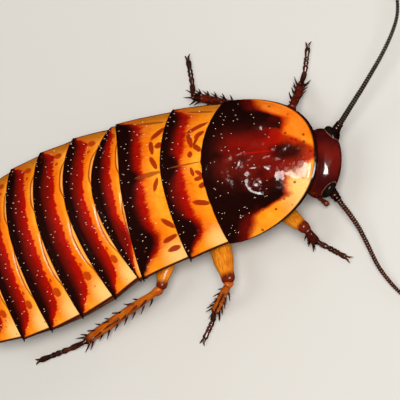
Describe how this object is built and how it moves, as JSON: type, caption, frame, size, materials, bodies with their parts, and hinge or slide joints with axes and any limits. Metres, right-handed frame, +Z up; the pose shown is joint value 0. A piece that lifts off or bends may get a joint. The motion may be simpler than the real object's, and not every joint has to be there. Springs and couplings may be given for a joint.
{
  "type": "madagascar hissing cockroach model",
  "caption": "Life-size still model of a wingless adult cockroach with arched banded back plates, a broad shield over the head, long feelers and spiny legs, standing on its feet.",
  "frame": {"origin": "middle of the bounding box at the floor under the feet", "axes": "+X ahead along the body towards the head, +Y to the animal's left, +Z up"},
  "size_m": [0.076, 0.0452, 0.012],
  "materials": {
    "shield": "glossy dark red to black, amber along the front rim",
    "wing_plate": "glossy, orange front, dark red middle and black hind band",
    "back_plate": "glossy, orange front, dark red middle and black hind band",
    "belly": "satin red brown",
    "chest": "satin light brown",
    "head": "glossy dark red brown",
    "eye": "glossy black with fine facets",
    "mouth": "satin brown",
    "antenna": "satin near black",
    "cercus": "satin dark brown",
    "thigh": "glossy orange",
    "shank": "glossy red brown with dark spines",
    "foot": "glossy near black"
  },
  "bodies": {
    "root": {"cercus_left": "cercus", "cercus_right": "cercus", "coxa_fore_left": "thigh", "coxa_fore_right": "thigh", "coxa_hind_left": "thigh", "coxa_hind_right": "thigh", "coxa_mid_left": "thigh", "coxa_mid_right": "thigh", "eye_left": "eye", "eye_right": "eye", "femur_fore_left": "thigh", "femur_fore_right": "thigh", "femur_hind_left": "thigh", "femur_hind_right": "thigh", "femur_mid_left": "thigh", "femur_mid_right": "thigh", "flagellum_1_left": "antenna", "flagellum_1_right": "antenna", "flagellum_2_left": "antenna", "flagellum_2_right": "antenna", "head": "head", "mesonotum": "wing_plate", "mesosternum": "chest", "metanotum": "wing_plate", "metasternum": "chest", "mouthparts": "mouth", "neck": "mouth", "palp_left": "mouth", "palp_right": "mouth", "pronotum": "shield", "prosternum": "chest", "scape_left": "antenna", "scape_right": "antenna", "sternite_2": "belly", "sternite_3": "belly", "sternite_4": "belly", "sternite_5": "belly", "sternite_6": "belly", "sternite_7": "belly", "supra_anal_plate": "back_plate", "tarsus_fore_left": "foot", "tarsus_fore_right": "foot", "tarsus_hind_left": "foot", "tarsus_hind_right": "foot", "tarsus_mid_left": "foot", "tarsus_mid_right": "foot", "tergite_1": "back_plate", "tergite_2": "back_plate", "tergite_3": "back_plate", "tergite_4": "back_plate", "tergite_5": "back_plate", "tergite_6": "back_plate", "tergite_7": "back_plate", "tibia_fore_left": "shank", "tibia_fore_right": "shank", "tibia_hind_left": "shank", "tibia_hind_right": "shank", "tibia_mid_left": "shank", "tibia_mid_right": "shank"}
  },
  "joints": []
}
